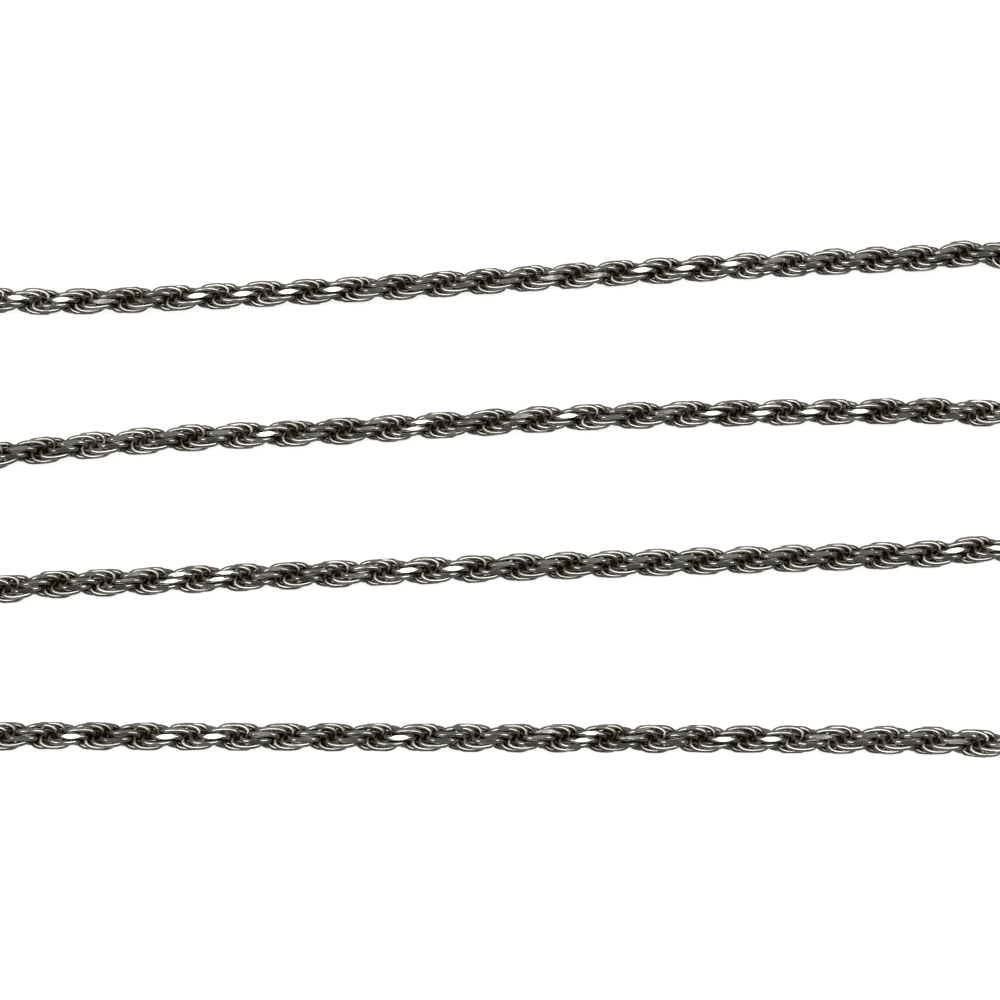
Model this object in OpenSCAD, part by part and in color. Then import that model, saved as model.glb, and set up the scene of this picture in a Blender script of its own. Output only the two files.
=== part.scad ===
// Diamond-cut rope chain, one closed loop of 508 mm laid flat in four passes.
// Origin: middle of the loop's box, on the surface that the chain lies on.
// +X runs along the passes, +Y across them, +Z up.

/* [Chain] */
// Width of the rope across its flats
chain_w = 2.6; // [2:0.1:3]
// Longest gap between two rings of the swept tube, in chain widths
ring_pitch = 3.2; // [2:0.1:5]

/* [Clasp] */
// Outer diameter of the barrel at its end rims
clasp_d = 4; // [3.8:0.1:4.4]
// Length of the barrel
clasp_len = 12; // [12:0.5:14]
// How deep each end of the chain sits in the barrel
seat_depth = 2.4; // [1:0.1:3]
// Gap all round between the chain and the barrel's bores
seat_gap = 0.12; // [0.05:0.01:0.2]
// Width of each end rim
rim_w = 1.4; // [1:0.1:2]
// Height of the rims over the barrel
rim_h = 0.15; // [0.05:0.05:0.2]
// Chamfer on the rims' outer edges
rim_chamfer = 0.25; // [0.1:0.05:0.3]

/* [Hidden] */

// The tube has eight sides and lies on one of them
sides = 8;
side_angle = 360 / sides;
tube_r = chain_w / 2 / cos(side_angle / 2);

// Heights of the axis: where the chain lies, and in the barrel, which holds it up
lying_z = chain_w / 2;
clasp_z = clasp_d / 2;

// A stretch between two route points that turns more than this takes a ring at its middle
turn_per_ring = 30;

// The barrel lies along Y at the loop's left end
clasp_x = -58;
clasp_y = -2.2;
mouth_y = clasp_len / 2;
seat_y = mouth_y - seat_depth;

// Route of the chain's axis as [x, y, lift], where lift 1 is the barrel's height.
// It leaves the barrel's upper mouth, makes four passes and comes back to the lower mouth.
ROUTE = [
    [clasp_x, clasp_y + seat_y, 1], [clasp_x, 6, 1], [clasp_x, 9.5, 0.5], [-54.8, 15.7, 0], [-48, 19, 0],
    // first pass, left to right, and its right turn
    [-40, 19.1, 0], [-15, 20.2, 0], [15, 22.2, 0], [43, 23.7, 0],
    [50.5, 24, 0], [55.6, 21.3, 0], [58, 16, 0], [55.6, 10.7, 0], [50.5, 8, 0],
    // second pass, right to left, and the inner left turn
    [43, 7.9, 0], [15, 7.4, 0], [-15, 5.7, 0], [-30, 4.9, 0], [-40, 3.9, 0],
    [-45, 3.2, 0], [-49.3, 0.9, 0], [-51.3, -3.1, 0], [-49.3, -7.1, 0], [-45, -9.4, 0],
    // third pass, left to right, and its right turn
    [-38, -9.2, 0], [-15, -8.3, 0], [15, -7.2, 0], [42, -6.3, 0],
    [49, -6, 0], [55, -9, 0], [57.6, -15, 0], [55, -21, 0], [49, -24, 0],
    // fourth pass, right to left, and back to the barrel
    [42, -23.9, 0], [0, -23.6, 0], [-40, -23.4, 0],
    [-48, -23.3, 0], [-54.8, -20, 0], [clasp_x, -13.9, 0.5], [clasp_x, -10.4, 1],
    [clasp_x, clasp_y - seat_y, 1]
];
last = len(ROUTE) - 1;

function axis_point(i) = [ROUTE[i].x, ROUTE[i].y, lying_z + ROUTE[i].z * (clasp_z - lying_z)];

function unit(v) = v / norm(v);

// Direction of the route at point i: that of the parabola through the point and its
// neighbours, made level where the chain lies on the surface or is held in the barrel
function heading(i) =
    i == 0 ? unit(axis_point(1) - axis_point(0)) :
    i == last ? unit(axis_point(last) - axis_point(last - 1)) :
    let (
        before = axis_point(i) - axis_point(i - 1),
        after = axis_point(i + 1) - axis_point(i),
        s = norm(before),
        t = norm(after),
        along = before / s * t + after / t * s,
        climbs = ROUTE[i].z > 0 && ROUTE[i].z < 1
    ) unit([along.x, along.y, climbs ? along.z : 0]);

// Point and direction at the share u of stretch i, on a cubic curve between two route points
function curve_point(i, u) =
    let (span = norm(axis_point(i + 1) - axis_point(i)))
    (2*u^3 - 3*u^2 + 1) * axis_point(i) + (u^3 - 2*u^2 + u) * span * heading(i)
    + (3*u^2 - 2*u^3) * axis_point(i + 1) + (u^3 - u^2) * span * heading(i + 1);

function curve_heading(i, u) =
    let (span = norm(axis_point(i + 1) - axis_point(i)))
    unit((6*u^2 - 6*u) * (axis_point(i) - axis_point(i + 1)) / span
    + (3*u^2 - 4*u + 1) * heading(i) + (3*u^2 - 2*u) * heading(i + 1));

function turn(i) = acos(min(1, unit(heading(i)) * unit(heading(i + 1))));

function rings_in(i) = max(
    round(norm(axis_point(i + 1) - axis_point(i)) / (ring_pitch * chain_w)),
    ceil(turn(i) / turn_per_ring)
);

// One ring of the tube at a point, square to the direction given and level from side to side
function ring(centre, along) =
    let (across = unit(cross([0, 0, 1], along)), up = cross(along, across))
    [for (k = [0:sides - 1]) let (a = (k + 0.5) * side_angle)
        centre + tube_r * (cos(a) * across + sin(a) * up)];

module chain() {
    rings = [
        for (i = [0:last - 1]) let (n = rings_in(i)) for (k = [0:n - 1])
            ring(curve_point(i, k / n), curve_heading(i, k / n)),
        ring(axis_point(last), heading(last))
    ];
    count = len(rings);
    side_faces = [
        for (r = [0:count - 2], k = [0:sides - 1])
            let (a = r * sides + k, b = r * sides + (k + 1) % sides)
            each [[a, a + sides, b], [b, a + sides, b + sides]]
    ];
    end_faces = [
        [for (k = [0:sides - 1]) k],
        [for (k = [sides - 1:-1:0]) (count - 1) * sides + k]
    ];
    color("silver")
        polyhedron([for (r = rings) each r], concat(side_faces, end_faces));
}

// A plain barrel with a rim and a blind bore at each end, for the chain's two ends
module clasp() {
    rim_r = clasp_d / 2;
    barrel_r = rim_r - rim_h;
    bore_r = tube_r + seat_gap;
    bore_y = seat_y - seat_gap;
    color("gainsboro")
        translate([clasp_x, clasp_y, clasp_z])
            rotate([-90, 0, 0])
                rotate_extrude($fn = 96)
                    polygon([
                        [0, -bore_y], [bore_r, -bore_y], [bore_r, -mouth_y],
                        [rim_r - rim_chamfer, -mouth_y], [rim_r, rim_chamfer - mouth_y],
                        [rim_r, rim_w - mouth_y], [barrel_r, rim_w + rim_h - mouth_y],
                        [barrel_r, mouth_y - rim_w - rim_h], [rim_r, mouth_y - rim_w],
                        [rim_r, mouth_y - rim_chamfer], [rim_r - rim_chamfer, mouth_y],
                        [bore_r, mouth_y], [bore_r, bore_y], [0, bore_y]
                    ]);
}

chain();
clasp();
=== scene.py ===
# %% [markdown]
# # A diamond-cut rope chain in silver, laid flat in four passes
# The piece is a neck chain of about 508 mm. Two rows of small soldered rings wind round each other like
# the strands of a rope, a cutter has planed bright flats along it, and a barrel clasp joins its ends.
# Every length in this file is in metres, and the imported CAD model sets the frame: X along the passes,
# Y across them, Z up from the table.

# %% Load the CAD frame
import math

import bmesh
import bpy
import numpy as np
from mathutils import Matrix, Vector
from mathutils.geometry import interpolate_bezier


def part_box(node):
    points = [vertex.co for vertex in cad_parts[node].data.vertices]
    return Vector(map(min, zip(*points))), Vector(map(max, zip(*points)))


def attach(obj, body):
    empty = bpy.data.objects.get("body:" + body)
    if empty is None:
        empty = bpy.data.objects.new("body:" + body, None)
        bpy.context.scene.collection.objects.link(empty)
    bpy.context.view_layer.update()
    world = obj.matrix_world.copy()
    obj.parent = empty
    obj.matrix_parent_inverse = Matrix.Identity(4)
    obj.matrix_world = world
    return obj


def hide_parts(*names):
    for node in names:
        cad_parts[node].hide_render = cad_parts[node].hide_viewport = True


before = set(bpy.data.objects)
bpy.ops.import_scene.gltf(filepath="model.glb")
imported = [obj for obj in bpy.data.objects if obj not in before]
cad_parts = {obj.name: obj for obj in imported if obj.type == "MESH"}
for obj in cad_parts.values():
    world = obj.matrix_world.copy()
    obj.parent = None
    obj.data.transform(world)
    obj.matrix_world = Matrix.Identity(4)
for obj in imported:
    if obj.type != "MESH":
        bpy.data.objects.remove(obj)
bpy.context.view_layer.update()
mm = 0.001

# %% [markdown]
# ## Camera
# A small thing on a table is pictured from above with a longish lens. This view leans 20 degrees away
# from straight down, 220 mm from the chain. The lens follows from the scale: 10.8 px for each millimetre
# in a picture 1000 px wide.

# %% Camera over the passes
picture_px, px_per_mm, sensor_mm = 1000, 10.8, 36.0
camera_distance = 220 * mm
camera_lean = math.radians(20)
aim = Vector((2.5 * mm, -1.0 * mm, 1.25 * mm))

camera_data = bpy.data.cameras.new("camera")
camera_data.sensor_width = sensor_mm
camera_data.lens = sensor_mm * px_per_mm * (camera_distance / mm) / picture_px
camera_data.clip_start, camera_data.clip_end = 0.01, 20
camera = bpy.data.objects.new("camera", camera_data)
camera.location = aim + camera_distance * Vector((0, -math.sin(camera_lean), math.cos(camera_lean)))
camera.rotation_euler = (camera_lean, 0, 0)
bpy.context.scene.collection.objects.link(camera)
bpy.context.scene.camera = camera
print(f"camera: lens {camera_data.lens:.1f} mm, {camera_distance / mm:.0f} mm away")

# %% [markdown]
# ## The route
# The chain leaves the clasp's upper mouth, makes four passes with round turns between them, and comes
# back to the lower mouth. The route could be one long polyline, but it would show corners. A Bezier
# spline through a few dozen points, with handles worked out from each point's neighbours, is smooth and
# is the very curve that the CAD tube was swept along.

# %% Points of the route
LYING, HELD = 1.3 * mm, 2.0 * mm   # height of the axis on the table, and in the barrel
HALFWAY = (LYING + HELD) / 2
ROUTE = [
    (-0.0580, 0.0014, HELD), (-0.0580, 0.0060, HELD), (-0.0580, 0.0095, HALFWAY),
    (-0.0548, 0.0157, LYING), (-0.0480, 0.0190, LYING), (-0.0400, 0.0191, LYING),
    (-0.0150, 0.0202, LYING), (0.0150, 0.0222, LYING), (0.0430, 0.0237, LYING),
    (0.0505, 0.0240, LYING), (0.0556, 0.0213, LYING), (0.0580, 0.0160, LYING),
    (0.0556, 0.0107, LYING), (0.0505, 0.0080, LYING), (0.0430, 0.0079, LYING),
    (0.0150, 0.0074, LYING), (-0.0150, 0.0057, LYING), (-0.0300, 0.0049, LYING),
    (-0.0400, 0.0039, LYING), (-0.0450, 0.0032, LYING), (-0.0493, 0.0009, LYING),
    (-0.0513, -0.0031, LYING), (-0.0493, -0.0071, LYING), (-0.0450, -0.0094, LYING),
    (-0.0380, -0.0092, LYING), (-0.0150, -0.0083, LYING), (0.0150, -0.0072, LYING),
    (0.0420, -0.0063, LYING), (0.0490, -0.0060, LYING), (0.0550, -0.0090, LYING),
    (0.0576, -0.0150, LYING), (0.0550, -0.0210, LYING), (0.0490, -0.0240, LYING),
    (0.0420, -0.0239, LYING), (0.0000, -0.0236, LYING), (-0.0400, -0.0234, LYING),
    (-0.0480, -0.0233, LYING), (-0.0548, -0.0200, LYING), (-0.0580, -0.0139, HALFWAY),
    (-0.0580, -0.0104, HELD), (-0.0580, -0.0058, HELD),
]

# %% Route as a smooth spline
def headings(points):
    """Direction at each point: that of the parabola through it and its neighbours, level where it lies."""
    found = []
    for i, here in enumerate(points):
        before = here - points[max(i - 1, 0)]
        after = points[min(i + 1, len(points) - 1)] - here
        if before.length * after.length == 0:
            found.append((before + after).normalized())
            continue
        along = before.normalized() * after.length + after.normalized() * before.length
        if abs(here.z - HALFWAY) > 0.01 * mm:
            along.z = 0
        found.append(along.normalized())
    return found


route_points = [Vector(p) for p in ROUTE]
route_data = bpy.data.curves.new("route", "CURVE")
route_data.dimensions, route_data.resolution_u = "3D", 32
spline = route_data.splines.new("BEZIER")
spline.bezier_points.add(len(route_points) - 1)
for i, (knot, here, heading) in enumerate(zip(spline.bezier_points, route_points, headings(route_points))):
    knot.handle_left_type = knot.handle_right_type = "FREE"
    back = (here - route_points[max(i - 1, 0)]).length / 3
    ahead = (route_points[min(i + 1, len(route_points) - 1)] - here).length / 3
    knot.co, knot.handle_left, knot.handle_right = here, here - heading * back, here + heading * ahead
route = bpy.data.objects.new("route", route_data)
bpy.context.scene.collection.objects.link(route)
chain_length = spline.calc_length()
print(f"route: {len(ROUTE)} points, {chain_length / mm:.1f} mm of chain")

# %% [markdown]
# ## The twist
# A rope chain is never twisted quite evenly as it lies. Each bulge that shows at its edge is half a turn,
# and a short table says how many half turns there are from the clasp to a few bulges. Between the two ends
# they are a tenth off whole numbers, because a camera that leans 20 degrees sees a bulge a ninth of a half
# turn early on the passes to the right and late on those to the left.

# %% Half turns along the route
TWIST = [                        # (distance from the clasp in mm, half turns)
    (0, 0), (29.5, 6.9), (64, 14.9), (97.5, 22.9), (118, 27.9), (148, 35.1), (194, 45.1),
    (236, 54.1), (267, 60.9), (309.5, 70.9), (351, 80.9), (385, 89.1), (451, 105.1), (472, 110.1), (501, 117),
]
FINE_STEPS = 4000                # about an eighth of a millimetre each
fine_at = np.linspace(0, chain_length, FINE_STEPS + 1)
half_turns = np.interp(fine_at / mm, *np.transpose(TWIST))
print(f"half a turn is {chain_length / mm / half_turns[-1]:.2f} mm long on average")

# %% [markdown]
# The rope was made with eleven rings to half a turn, then planed with eight flats that run straight along
# it. Where the rings have since slipped closer together or further apart, the flats wind slowly round the
# chain, so a facet glints only here and there. It glints when it faces midway between the camera and the
# lamp. The second table counts eighths of a turn from there: a whole number is a place where a flat glints,
# and a half is one where an edge between two flats faces that way instead. The degrees are worked out from
# the route, the camera and the lamp, and the number of rings up to any place follows from both tables.

# %% Where the flats glint
RINGS_PER_HALF_TURN, CUT_SIDES = 11, 8
FLATS = [                        # (distance from the clasp in mm, eighths of a turn past facing the light)
    (26, -0.1), (32, -0.1), (36, 0.3), (40, 0.3), (44, 0), (58, 0), (62, 0.4), (74, 0.3), (83, 0.2),
    (87, 0), (91, 0), (95, -0.2), (100, -0.3), (120, -0.5),
    (148, 1.6), (155, 1.6), (159, 2), (173, 2), (215, 5), (220, 5.4), (236, 5.5),
    (262, 3.4), (272, 3.5), (277, 3.9), (282, 3.9), (294, 3.3), (299, 2.9), (304, 2.9), (308, 2.6),
    (344, 2.6), (349, 2.9), (354, 2.9),
    (384, 5.8), (398, 5.4), (403, 5), (407, 5), (411, 4.7), (420, 4), (428, 4.6), (432, 4.6), (436, 5),
    (441, 4.7), (445, 4.7), (449, 5.3), (453, 5), (457, 5), (462, 4.6), (466, 5), (471, 4.6),
]
lamp_lean = math.radians(-8.3)   # from straight overhead towards the near side
lamp_distance = 1.0              # metres
lamp_place = lamp_distance * Vector((0, math.sin(lamp_lean), math.cos(lamp_lean)))
POINTS_A_STRETCH = 33            # on each curve between two points of the route
route_samples = []
for knot, following in zip(spline.bezier_points[:-1], spline.bezier_points[1:]):
    stretch = interpolate_bezier(
        knot.co, knot.handle_right, following.handle_left, following.co, POINTS_A_STRETCH)
    route_samples += stretch[:-1]
route_samples = np.array([*route_samples, spline.bezier_points[-1].co])
walked = np.concatenate([[0], np.cumsum(np.linalg.norm(np.diff(route_samples, axis=0), axis=1))])


def facing(distance):
    """Degrees round the chain, from its left side, at which a flat faces midway from camera to lamp."""
    here, ahead = [Vector([np.interp(d, walked, column) for column in route_samples.T])
                   for d in (distance, distance + 0.1 * mm)]
    left = Vector((0, 0, 1)).cross(ahead - here).normalized()
    midway = (camera.location - here).normalized() + (lamp_place - here).normalized()
    return math.degrees(math.atan2(midway.z, midway.dot(left)))


flats_at, eighths = np.transpose(FLATS)
wound_there = [facing(d * mm) + e * 360 / CUT_SIDES for d, e in zip(flats_at, eighths)]
wound = np.interp(fine_at / mm, flats_at, wound_there)
mid_passes = [71, 196, 305, 430]                   # mm from the clasp, where each pass crosses X = 0
print("a flat faces the light at", [round(facing(d * mm)) for d in mid_passes], "degrees on the passes")

# %% Number and turn of the rings
end_margin = 1.25 * mm           # the first and last rings stand at least this far in from the chain's ends
ring_number = RINGS_PER_HALF_TURN * (half_turns + wound / 180)
first, last = np.interp([end_margin, chain_length - end_margin], fine_at, ring_number)
ring_index = np.arange(math.ceil(first), math.floor(last) + 1)
ring_at = np.interp(ring_index, ring_number, fine_at)
lying_turn = -np.pi * np.interp(ring_at, fine_at, half_turns)     # minus: a left-handed rope
ring_turn = lying_turn - np.pi * (ring_index % 2)                 # every second ring faces the other way
steps = np.diff(ring_at) / mm
print(f"{len(ring_at)} rings, {steps.min():.3f} to {steps.max():.3f} mm apart, {steps.mean():.3f} on average")

# %% [markdown]
# ## One ring
# Each ring is a piece of round wire bent to a rounded oblong, closed and a little warped, so that it nests
# on the rings before it. A torus would do for a plain chain, but here the shape matters. The centre line is
# written as sums of sines and cosines of one angle, and a six-sided tube is swept round it. That line
# reaches 2.2 wire thicknesses out from the rope's axis on one side and 1 past the axis on the other.

# %% Centre line of a ring
WIRE = 0.5 * mm                 # wire thickness


def ring_line(t):
    """Centre line in wire thicknesses: x along the chain, y outwards from its axis, z round it."""
    middle, half_width, half_span, lean = 0.685, 1.615, 2.68, math.radians(-4)
    flatter_outside, squarer_ends, saddle = 0.11, 0.02, 0.16
    outwards = middle + half_width * np.cos(t) - flatter_outside * np.cos(2 * t)
    along = half_span * np.sin(t) + squarer_ends * np.sin(3 * t)
    warp = saddle * np.sin(2 * t)
    x = along * math.cos(lean) - warp * math.sin(lean)
    z = -(along * math.sin(lean) + warp * math.cos(lean))
    return np.stack([x, outwards, z], axis=1)


def even_steps(count, tightness=0.5, inner_share=0.3):
    """Angles that put more points where the line bends more, and on the outer side, which is what shows."""
    t = np.linspace(0, 2 * np.pi, 721)                # every half degree
    p = ring_line(t)
    d1, d2 = np.gradient(p, axis=0), np.gradient(np.gradient(p, axis=0), axis=0)
    speed = np.linalg.norm(d1, axis=1)
    bend = np.linalg.norm(np.cross(d1, d2), axis=1) / speed ** 3
    shows = np.clip(p[:, 1] / p[:, 1].max(), inner_share, 1)
    share = np.concatenate([[0], np.cumsum((speed * (1 + tightness * bend) * shows)[1:])])
    return np.interp(np.arange(count) / count * share[-1], share, t)


ring_length, ring_width = (np.ptp(ring_line(even_steps(360)), axis=0)[:2] + 1) * WIRE / mm
print(f"a ring is {ring_length:.2f} mm long and {ring_width:.2f} mm wide, of {WIRE / mm} mm wire")

# %% [markdown]
# The cutter planes the finished rope to an eight-sided prism 2.42 mm across. Rather than cut more than a
# thousand rings, the rule of the rope helps: a ring stands a half turn and an eleventh of one round from
# the last, so eleven rings on a ring stands to the prism as the first did, and only eleven differently
# cut rings exist. Each is cut from the same oblong with bisecting planes, which leaves sharp, truly flat
# facets.

# %% Eleven cut rings
ACROSS_FLATS = 2.42 * mm
KINDS = RINGS_PER_HALF_TURN
SEGMENTS, WIRE_SIDES = 16, 6


def swept_ring():
    """A bmesh tube round the centre line, in metres."""
    t = even_steps(SEGMENTS)
    line, nudge = ring_line(t), 0.01
    tangent = ring_line(t + nudge) - ring_line(t - nudge)
    tangent /= np.linalg.norm(tangent, axis=1)[:, None]
    out = line - line.mean(axis=0)
    out -= (out * tangent).sum(axis=1)[:, None] * tangent
    out /= np.linalg.norm(out, axis=1)[:, None]
    side = np.cross(tangent, out)
    shape = bmesh.new()
    angles = np.arange(WIRE_SIDES) * 2 * np.pi / WIRE_SIDES
    rows = []
    for i in range(SEGMENTS):
        spokes = [math.cos(a) * out[i] + math.sin(a) * side[i] for a in angles]
        rows.append([shape.verts.new((line[i] + spoke / 2) * WIRE) for spoke in spokes])
    for i, row in enumerate(rows):
        following = rows[(i + 1) % SEGMENTS]
        for k in range(WIRE_SIDES):
            j = (k + 1) % WIRE_SIDES
            shape.faces.new((row[k], following[k], following[j], row[j])).smooth = True
    bmesh.ops.recalc_face_normals(shape, faces=shape.faces)
    return shape


def cut_ring(kind):
    """A ring planed by the prism's sides as they stand to a ring of this kind."""
    shape = swept_ring()
    side_angle = 360 / CUT_SIDES
    start = kind * (180 + 180 / RINGS_PER_HALF_TURN)
    for side in range(CUT_SIDES):
        a = math.radians(start + side * side_angle)
        normal = Vector((0, math.cos(a), math.sin(a)))
        made = bmesh.ops.bisect_plane(
            shape, geom=[*shape.verts, *shape.edges, *shape.faces], dist=1e-7,
            plane_co=normal * ACROSS_FLATS / 2, plane_no=normal, clear_outer=True)
        rim = [e for e in made["geom_cut"] if isinstance(e, bmesh.types.BMEdge)]
        if not rim:
            continue
        for face in bmesh.ops.edgenet_fill(shape, edges=rim)["faces"]:
            face.material_index, face.smooth = 1, False
            for edge in face.edges:
                edge.smooth = False
    bmesh.ops.recalc_face_normals(shape, faces=shape.faces)
    mesh = bpy.data.meshes.new(f"ring_{kind}")
    shape.to_mesh(mesh)
    shape.free()
    height = np.array([math.hypot(v.co.y, v.co.z) for v in mesh.vertices]) / (ACROSS_FLATS / 2)
    mesh.attributes.new("height", "FLOAT", "POINT").data.foreach_set("value", height)
    is_facet = [p.material_index == 1 for p in mesh.polygons]
    mesh.attributes.new("facet", "BOOLEAN", "FACE").data.foreach_set("value", is_facet)
    core = ring_line(np.linspace(0, 2 * np.pi, 361)) * WIRE           # a point every degree
    round_normals = []                                # square to the wire, so that six sides look round
    for vertex in mesh.vertices:
        spokes = np.array(vertex.co) - core
        spoke = spokes[np.argmin(np.linalg.norm(spokes, axis=1))]
        round_normals.append(spoke / np.linalg.norm(spoke))
    mesh.normals_split_custom_set([
        face.normal if is_facet[face.index] else round_normals[mesh.loops[corner].vertex_index]
        for face in mesh.polygons for corner in face.loop_indices])
    return bpy.data.objects.new(f"ring_{kind}", mesh)


cut_rings = bpy.data.collections.new("cut_rings")
for kind in range(KINDS):
    cut_rings.objects.link(cut_ring(kind))

# %% [markdown]
# ## Materials
# One function turns a hex colour to Blender's linear values, and one adds a node with its settings, its
# input values and its links. The three silvers share their last step: colour, roughness and bumps go into a
# shader that is all metal. The scale of a noise is given as how many patches of it go into a millimetre.

# %% Helpers for node trees
per_mm = 1 / mm


def colour(hexed):
    """Linear RGBA from an sRGB colour written as #rrggbb."""
    parts = [int(hexed[i:i + 2], 16) / 255 for i in (1, 3, 5)]
    return (*[c / 12.92 if c <= 0.04045 else ((c + 0.055) / 1.055) ** 2.4 for c in parts], 1.0)


def add(tree, kind, inputs=None, **settings):
    """Adds a node. An input is given a value, or linked if what it is given is another node's socket."""
    made = tree.nodes.new(kind)
    for name, value in settings.items():
        setattr(made, name, value)
    for name, value in (inputs or {}).items():
        if isinstance(value, bpy.types.NodeSocket):
            tree.links.new(value, made.inputs[name])
        else:
            made.inputs[name].default_value = value
    return made


def new_material(name):
    """A new material, with its node tree and its shader."""
    material = bpy.data.materials.new(name)
    material.use_nodes = True
    shader = material.node_tree.nodes["Principled BSDF"]
    return material, material.node_tree, shader


def make_metal(tree, shader, base, rough, bumps):
    """Ends a metal's tree: its colour, roughness and bumps go into the shader."""
    for name, socket in [("Base Color", base), ("Roughness", rough), ("Normal", bumps)]:
        tree.links.new(socket, shader.inputs[name])
    shader.inputs["Metallic"].default_value = 1.0


# %% [markdown]
# **Worn sterling silver wire.** Drawn wire, bent, soldered and polished in a drum. Where it is handled it
# stays bright; deep between the rings, silver sulphide and dirt turn it brown and olive and dull. How deep
# a point lies comes with each ring as the attribute "height", 1 at the cutter's prism and 0 at the rope's
# axis. The dirt comes in patches about 4 mm wide. Small dents from years of wear, 0.3 mm across, break up
# the highlights.

# %% Silver of the wire
wire_silver, tree, shader = new_material("worn_sterling_wire")
height = add(tree, "ShaderNodeAttribute", attribute_name="height").outputs["Fac"]
tone = add(tree, "ShaderNodeAttribute", attribute_name="ring_tone").outputs["Fac"]
place = add(tree, "ShaderNodeTexCoord").outputs["Object"]
patches = add(tree, "ShaderNodeTexNoise", {"Vector": place, "Scale": 0.26 * per_mm,
                                           "Detail": 2.0}).outputs["Fac"]
dents = add(tree, "ShaderNodeTexNoise", {"Vector": place, "Scale": 3.2 * per_mm,
                                         "Detail": 1.0}).outputs["Fac"]
clean_above, dirty_below = 0.85, 0.25              # heights between which the dirt sets in
depth = add(tree, "ShaderNodeMapRange", {"Value": height, "From Min": clean_above,
                                         "From Max": dirty_below}).outputs["Result"]
worn = add(tree, "ShaderNodeMath", {0: patches, 1: 0.9, 2: -0.3}, operation="MULTIPLY_ADD").outputs[0]
uneven = add(tree, "ShaderNodeMath", {0: tone, 1: 0.15, 2: worn}, operation="MULTIPLY_ADD").outputs[0]
dirt = add(tree, "ShaderNodeMath", {0: depth, 1: uneven}, operation="ADD", use_clamp=True).outputs[0]
tarnish = add(tree, "ShaderNodeMix", {"Factor": patches, 6: colour("#43302a"), 7: colour("#504830")},
              data_type="RGBA").outputs[2]
base = add(tree, "ShaderNodeMix", {"Factor": dirt, 6: colour("#d7d5cd"), 7: tarnish},
           data_type="RGBA").outputs[2]
rough = add(tree, "ShaderNodeMapRange", {"Value": dirt, "To Min": 0.12, "To Max": 0.4}).outputs["Result"]
dented = add(tree, "ShaderNodeBump", {"Height": dents, "Strength": 0.04, "Distance": 0.02 * mm}).outputs[0]
make_metal(tree, shader, base, rough, dented)
print(f"{wire_silver.name}: {len(tree.nodes)} nodes")

# %% [markdown]
# **Diamond-cut silver.** A turning diamond leaves a near mirror with fine lines along the chain. Wear has
# since dulled some facets more than others, and left them a little wavy, a swell to each millimetre or so.
# Lines of a real cut are about a hundredth of a millimetre apart; these are some ten times coarser, which
# is as fine as shows here.

# %% Silver of the cut facets
facet_silver, tree, shader = new_material("diamond_cut_silver")
tone = add(tree, "ShaderNodeAttribute", attribute_name="ring_tone").outputs["Fac"]
place = add(tree, "ShaderNodeTexCoord").outputs["Object"]
lines_per_mm = 7
line_grid = (0.1 * lines_per_mm * per_mm, lines_per_mm * per_mm, lines_per_mm * per_mm)
drawn_out = add(tree, "ShaderNodeVectorMath", {0: place, 1: line_grid}, operation="MULTIPLY").outputs[0]
streaks = add(tree, "ShaderNodeTexNoise", {"Vector": drawn_out, "Scale": 1.0, "Detail": 2.0}).outputs["Fac"]
dulled = add(tree, "ShaderNodeMath", {0: tone, 1: 0.55, 2: -0.1}, operation="MULTIPLY_ADD").outputs[0]
dulled = add(tree, "ShaderNodeMath", {0: streaks, 1: 0.6, 2: dulled}, operation="MULTIPLY_ADD",
             use_clamp=True).outputs[0]
base = add(tree, "ShaderNodeMix", {"Factor": dulled, 6: colour("#f4f2e9"), 7: colour("#b9b6ae")},
           data_type="RGBA").outputs[2]
rough = add(tree, "ShaderNodeMapRange", {"Value": dulled, "To Min": 0.1, "To Max": 0.34}).outputs["Result"]
swells = add(tree, "ShaderNodeTexNoise", {"Vector": place, "Scale": 1.1 * per_mm,
                                          "Detail": 0.0}).outputs["Fac"]
relief = add(tree, "ShaderNodeMath", {0: streaks, 1: 0.06, 2: swells}, operation="MULTIPLY_ADD").outputs[0]
lines = add(tree, "ShaderNodeBump", {"Height": relief, "Strength": 1.0, "Distance": 0.05 * mm}).outputs[0]
make_metal(tree, shader, base, rough, lines)
print(f"{facet_silver.name}: {len(tree.nodes)} nodes")

# %% [markdown]
# **Turned and polished silver of the clasp.** A lathe leaves faint rings round the barrel, nine to the
# millimetre, polishing nearly removes them, and fingers leave patches two or three millimetres wide that are
# a little duller and yellower.

# %% Silver of the clasp
clasp_silver, tree, shader = new_material("polished_sterling_clasp")
place = add(tree, "ShaderNodeTexCoord").outputs["Object"]
turning_grid = (0.2 * per_mm, 9 * per_mm, 0.2 * per_mm)
squeezed = add(tree, "ShaderNodeVectorMath", {0: place, 1: turning_grid}, operation="MULTIPLY").outputs[0]
turning = add(tree, "ShaderNodeTexNoise", {"Vector": squeezed, "Scale": 1.0, "Detail": 2.0}).outputs["Fac"]
touched = add(tree, "ShaderNodeTexNoise", {"Vector": place, "Scale": 0.42 * per_mm,
                                           "Detail": 3.0}).outputs["Fac"]
base = add(tree, "ShaderNodeMix", {"Factor": touched, 6: colour("#d9d6cf"), 7: colour("#a8a190")},
           data_type="RGBA").outputs[2]
rough = add(tree, "ShaderNodeMapRange", {"Value": touched, "From Min": 0.3, "From Max": 0.7,
                                         "To Min": 0.14, "To Max": 0.34}).outputs["Result"]
ridged = add(tree, "ShaderNodeBump", {"Height": turning, "Strength": 0.25, "Distance": 0.02 * mm}).outputs[0]
make_metal(tree, shader, base, rough, ridged)
print(f"{clasp_silver.name}: {len(tree.nodes)} nodes")

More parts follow.
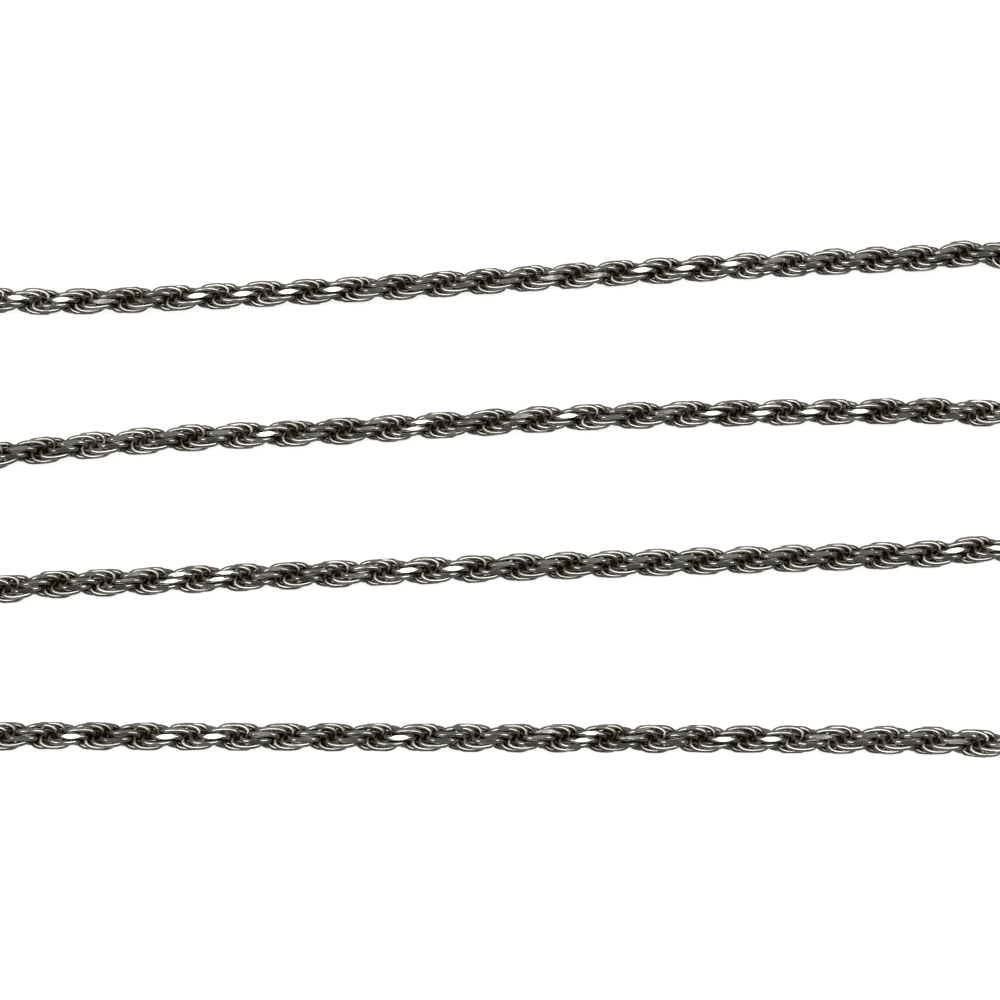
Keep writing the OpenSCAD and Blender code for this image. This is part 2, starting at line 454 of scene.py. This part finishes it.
# %% [markdown]
# ## The rope
# Geometry Nodes put the rings in place. The tree takes a row of points, one for each ring, which carry
# their distance along the route, their turn and their kind. It looks each distance up on the route, turns
# a ring to the route's direction there, and adds a little play, for no two rings settle quite alike.

# %% Node tree that strings rings on a route
def stringing_tree():
    """The node tree, and the identifier of each of its inputs by name."""
    tree = bpy.data.node_groups.new("string_rings", "GeometryNodeTree")
    sockets = {}
    for name, kind, default in [
            ("Points", "NodeSocketGeometry", None), ("Route", "NodeSocketObject", None),
            ("Rings", "NodeSocketCollection", None), ("Play", "NodeSocketFloat", 0.0),
            ("Slack", "NodeSocketFloat", 0.0), ("Seed", "NodeSocketInt", 0),
            ("Wire", "NodeSocketMaterial", None), ("Facet", "NodeSocketMaterial", None)]:
        sockets[name] = tree.interface.new_socket(name, in_out="INPUT", socket_type=kind)
        if default is not None:
            sockets[name].default_value = default
    tree.interface.new_socket("Chain", in_out="OUTPUT", socket_type="NodeSocketGeometry")
    given = tree.nodes.new("NodeGroupInput").outputs

    def stored(name, kind="FLOAT"):
        return add(tree, "GeometryNodeInputNamedAttribute", {"Name": name}, data_type=kind).outputs[0]

    path = add(tree, "GeometryNodeObjectInfo", {"Object": given["Route"]}).outputs["Geometry"]
    sample = add(tree, "GeometryNodeSampleCurve", {"Curves": path, "Length": stored("distance")},
                 mode="LENGTH", use_all_curves=True).outputs
    side = add(tree, "ShaderNodeVectorMath", {0: (0, 0, 1), 1: sample["Tangent"]},
               operation="CROSS_PRODUCT").outputs[0]
    laid = add(tree, "FunctionNodeAxesToRotation", {0: sample["Tangent"], 1: side},
               primary_axis="X", secondary_axis="Y").outputs[0]
    turn = add(tree, "FunctionNodeAxisAngleToRotation",
               {"Axis": (1, 0, 0), "Angle": stored("turn")}).outputs[0]
    rolled = add(tree, "FunctionNodeRotateRotation", {0: laid, 1: turn}, rotation_space="LOCAL").outputs[0]

    def jitter(amount, seed_step):
        low = add(tree, "ShaderNodeMath", {0: amount, 1: -1.0}, operation="MULTIPLY").outputs[0]
        seed = add(tree, "FunctionNodeIntegerMath", {0: given["Seed"], 1: seed_step},
                   operation="ADD").outputs[0]
        both = [add(tree, "ShaderNodeCombineXYZ", {0: v, 1: v, 2: v}).outputs[0] for v in (low, amount)]
        return add(tree, "FunctionNodeRandomValue", {0: both[0], 1: both[1], "Seed": seed},
                   data_type="FLOAT_VECTOR").outputs[0]

    wobble = add(tree, "FunctionNodeEulerToRotation", {0: jitter(given["Play"], 0)}).outputs[0]
    settled = add(tree, "FunctionNodeRotateRotation", {0: rolled, 1: wobble},
                  rotation_space="LOCAL").outputs[0]
    placed = add(tree, "GeometryNodeSetPosition", {
        "Geometry": given["Points"], "Position": sample["Position"],
        "Offset": jitter(given["Slack"], 1)}).outputs[0]
    ring_set = add(tree, "GeometryNodeCollectionInfo", {
        "Collection": given["Rings"], "Separate Children": True, "Reset Children": True}).outputs[0]
    ring_row = add(tree, "GeometryNodeInstanceOnPoints", {
        "Points": placed, "Instance": ring_set, "Pick Instance": True,
        "Instance Index": stored("kind", "INT"), "Rotation": settled}).outputs[0]
    tone_seed = add(tree, "FunctionNodeIntegerMath", {0: given["Seed"], 1: 2}, operation="ADD").outputs[0]
    tone = add(tree, "FunctionNodeRandomValue", {"Seed": tone_seed}, data_type="FLOAT").outputs[1]
    toned = add(tree, "GeometryNodeStoreNamedAttribute", {
        "Geometry": ring_row, "Name": "ring_tone", "Value": tone},
        data_type="FLOAT", domain="INSTANCE").outputs[0]
    real = add(tree, "GeometryNodeRealizeInstances", {"Geometry": toned}).outputs[0]
    wired = add(tree, "GeometryNodeSetMaterial", {"Geometry": real, "Material": given["Wire"]}).outputs[0]
    faceted = add(tree, "GeometryNodeSetMaterial", {
        "Geometry": wired, "Selection": stored("facet", "BOOLEAN"), "Material": given["Facet"]}).outputs[0]
    add(tree, "NodeGroupOutput", {"Chain": faceted})
    return tree, {name: s.identifier for name, s in sockets.items()}


string_rings, input_id = stringing_tree()
print("inputs of the stringing tree:", input_id)

# %% [markdown]
# The chain is strung in four stretches, one for each pass, because one mesh of every ring would be too
# heavy to handle. Each stretch becomes a plain mesh.

# %% String the four stretches
PASS_ENDS = [133.0, 250.0, 368.0]                  # mm along the route, in the hidden turns
PASS_NAMES = ["rope_far_pass", "rope_second_pass", "rope_third_pass", "rope_near_pass"]
PLAY, SLACK = math.radians(2), 0.01 * mm           # most that a ring turns about and shifts along each axis
SEED = 11
TABLE_GAP = 0.002 * mm


def plain_mesh(worked, name):
    """The evaluated object as a new object with a plain mesh; the worked one is removed."""
    dependencies = bpy.context.evaluated_depsgraph_get()
    mesh = bpy.data.meshes.new_from_object(worked.evaluated_get(dependencies))
    bpy.data.objects.remove(worked)
    mesh.name = name
    made = bpy.data.objects.new(name, mesh)
    bpy.context.scene.collection.objects.link(made)
    return made


def strung(name, chosen):
    """One stretch of rope from the chosen rings."""
    pegs = bpy.data.meshes.new(name + "_points")
    pegs.vertices.add(len(chosen))
    for key, kind, values in [("distance", "FLOAT", ring_at[chosen]), ("turn", "FLOAT", ring_turn[chosen]),
                              ("kind", "INT", ring_index[chosen] % KINDS)]:
        pegs.attributes.new(key, kind, "POINT").data.foreach_set("value", values)
    worked = bpy.data.objects.new(name + "_points", pegs)
    bpy.context.scene.collection.objects.link(worked)
    modifier = worked.modifiers.new("string rings", "NODES")
    modifier.node_group = string_rings
    for key, value in {"Route": route, "Rings": cut_rings, "Play": PLAY, "Slack": SLACK,
                       "Seed": SEED + int(chosen[0]), "Wire": wire_silver, "Facet": facet_silver}.items():
        modifier[input_id[key]] = value
    bpy.context.view_layer.update()
    return plain_mesh(worked, name)


ropes = []
stretch_of_ring = np.searchsorted(PASS_ENDS, ring_at / mm)
for i, name in enumerate(PASS_NAMES):
    rope = strung(name, np.flatnonzero(stretch_of_ring == i))
    co = np.zeros(len(rope.data.vertices) * 3)
    rope.data.vertices.foreach_get("co", co)
    co = co.reshape(-1, 3)
    sunk = int((co[:, 2] < 0).sum())
    co[:, 2] = np.maximum(co[:, 2], TABLE_GAP)       # wires that would dip into the table rest on it
    rope.data.vertices.foreach_set("co", co.ravel())
    rope.data.update()
    ropes.append(rope)
    print(f"{name}: {len(rope.data.polygons)} faces, {sunk} points brought up to the table")
bpy.data.objects.remove(route)

# %% [markdown]
# ## The clasp
# Out of the picture, at the loop's left end, a plain turned barrel holds both ends of the chain.

# %% Turned barrel
def turned(name, profile, centre, count=48):
    """A closed solid of revolution round a line along Y, from (radius, y) pairs given from end to end."""
    shape = bmesh.new()
    rows = []
    for radius, y in profile:
        if radius == 0:
            rows.append([shape.verts.new((centre.x, centre.y + y, centre.z))])
        else:
            rows.append([shape.verts.new((centre.x + radius * math.cos(a), centre.y + y,
                                          centre.z + radius * math.sin(a)))
                         for a in np.arange(count) * 2 * math.pi / count])
    for here, there in zip(rows, rows[1:]):
        for k in range(count):
            j = (k + 1) % count
            corners = [here[k % len(here)], there[k % len(there)],
                       there[j % len(there)], here[j % len(here)]]
            shape.faces.new(list(dict.fromkeys(corners)))
    for face in shape.faces:
        face.smooth = True
    bmesh.ops.recalc_face_normals(shape, faces=shape.faces)
    mesh = bpy.data.meshes.new(name)
    shape.to_mesh(mesh)
    shape.free()
    mesh.set_sharp_from_angle(angle=math.radians(25))   # or the groove would bend the barrel's reflections
    made = bpy.data.objects.new(name, mesh)
    bpy.context.scene.collection.objects.link(made)
    return made


clasp_low, clasp_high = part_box("clasp")
clasp_centre = (clasp_low + clasp_high) / 2
half_length = (clasp_high.y - clasp_low.y) / 2
rim_radius = (clasp_high.z - clasp_low.z) / 2
bore_radius, bore_floor, bore_lip = 1.53 * mm, 3.5 * mm, 0.1 * mm   # the floor is measured from the middle
rim_height, rim_width, shoulder = 0.15 * mm, 1.2 * mm, 0.2 * mm
rounding, corner_cut = 0.25 * mm, 0.08 * mm
groove_half_width, groove_half_floor, groove_depth = 0.1 * mm, 0.02 * mm, 0.08 * mm
barrel_radius = rim_radius - rim_height
rim_end = half_length - rim_width
half_profile = [
    (0.0, bore_floor), (bore_radius, bore_floor), (bore_radius, half_length - bore_lip),
    (bore_radius + bore_lip, half_length), (rim_radius - rounding, half_length),
    (rim_radius - corner_cut, half_length - corner_cut), (rim_radius, half_length - rounding),
    (rim_radius, rim_end), (rim_radius - rim_height / 3, rim_end - shoulder * 0.6),
    (barrel_radius, rim_end - shoulder), (barrel_radius, groove_half_width),
    (barrel_radius - groove_depth, groove_half_floor),
]
profile = half_profile + [(r, -y) for r, y in reversed(half_profile)]
clasp = turned("barrel_clasp", profile, clasp_centre)
clasp.data.materials.append(clasp_silver)
print("clasp:", len(clasp.data.polygons), "faces")

# %% [markdown]
# ## Table and light
# The chain lies on a sheet of opal acrylic that shows as plain white, with hardly a shadow. A lamp under
# such a sheet does this in a studio, so the table's material glows a little. The silver doesn't mirror it:
# if it did, the undersides of the wires would be lost in the white. Its own colour is a mid grey, so that
# glow and softbox together come out just white; any brighter, and it would eat into the chain's outline.
# Clouds 25 mm wide in its colour and gloss keep it from being perfectly even.

# %% Table
table_half = 1.5                 # metres
table_mesh = bpy.data.meshes.new("table")
table_mesh.from_pydata([(-table_half, -table_half, 0), (table_half, -table_half, 0),
                        (table_half, table_half, 0), (-table_half, table_half, 0)], [], [(0, 1, 2, 3)])
table = bpy.data.objects.new("table", table_mesh)
bpy.context.scene.collection.objects.link(table)
opal_acrylic, tree, shader = new_material("pale_opal_acrylic")
place = add(tree, "ShaderNodeTexCoord").outputs["Object"]
clouds = add(tree, "ShaderNodeTexNoise", {"Vector": place, "Scale": 0.04 * per_mm,
                                          "Detail": 2.0}).outputs["Fac"]
grey = add(tree, "ShaderNodeMix", {"Factor": clouds, 6: colour("#929290"), 7: colour("#868686")},
           data_type="RGBA").outputs[2]
satin = add(tree, "ShaderNodeMapRange", {"Value": clouds, "To Min": 0.6, "To Max": 0.8}).outputs["Result"]
tree.links.new(grey, shader.inputs["Base Color"])
tree.links.new(satin, shader.inputs["Roughness"])
shader.inputs["Emission Color"].default_value = colour("#ffffff")
shader.inputs["Emission Strength"].default_value = 0.88
table.data.materials.append(opal_acrylic)
table.visible_glossy = False
print(f"table: {2 * table_half} m square, {len(tree.nodes)} nodes in its material")

# %% [markdown]
# One long softbox hangs nearly overhead. Its strip is narrow across the passes and long along them, so a
# flat facet shines white when it faces the strip within about eight degrees and stays grey beside its
# neighbours otherwise. That is why a diamond-cut chain glitters here and there and not all over.

# %% Soft light overhead
box_length, box_width = 2.2, 0.6                   # metres
box_radiance = 2.6                                 # how bright its face is, where white is 1
lamp = bpy.data.lights.new("overhead_softbox", "AREA")
lamp.shape, lamp.size, lamp.size_y = "RECTANGLE", box_length, box_width
lamp.energy = box_radiance * math.pi * box_length * box_width
overhead = bpy.data.objects.new("overhead_softbox", lamp)
overhead.location = lamp_place
overhead.rotation_euler = (-lamp_lean, 0, 0)
bpy.context.scene.collection.objects.link(overhead)
print(f"softbox: {overhead.data.energy:.1f} W at {overhead.location.length:.1f} m")

# %% [markdown]
# The rest of what silver shows is the room. A world of soft grey blotches stands for it: brighter on the far
# side, dim behind the camera, and a little lighter below, where the table would be mirrored.

# %% A dim room round it
room = bpy.data.worlds.new("room")
bpy.context.scene.world = room
room.use_nodes = True
tree = room.node_tree
toward = add(tree, "ShaderNodeTexCoord").outputs["Generated"]
blocks = add(tree, "ShaderNodeTexNoise", {"Vector": toward, "Scale": 3.5, "Detail": 1.0}).outputs["Fac"]
toward_y, toward_z = add(tree, "ShaderNodeSeparateXYZ", {0: toward}).outputs[1:3]
glow = add(tree, "ShaderNodeMapRange", {"Value": toward_y, "From Min": -1.0,
                                        "To Min": 0.057, "To Max": 0.21}).outputs[0]
from_below = add(tree, "ShaderNodeMapRange", {"Value": toward_z, "From Min": 0.15, "From Max": -0.25,
                                              "To Min": 0.0, "To Max": 0.12}).outputs[0]
mottled = add(tree, "ShaderNodeMapRange", {"Value": blocks, "From Min": 0.3, "From Max": 0.7,
                                           "To Min": 0.45, "To Max": 1.65}).outputs[0]
strength = add(tree, "ShaderNodeMath", {0: glow, 1: mottled, 2: from_below},
               operation="MULTIPLY_ADD").outputs[0]
background = tree.nodes["Background"]
background.inputs["Color"].default_value = colour("#ffffff")
tree.links.new(strength, background.inputs["Strength"])
bpy.context.scene.view_settings.view_transform = "Standard"
print("nodes in the world:", len(tree.nodes))

# %% [markdown]
# ## Tie the pieces to the CAD body

# %% Tie the pieces to the CAD
for rope in ropes:
    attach(rope, "root")
    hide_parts("chain")
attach(clasp, "root")
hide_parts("clasp")
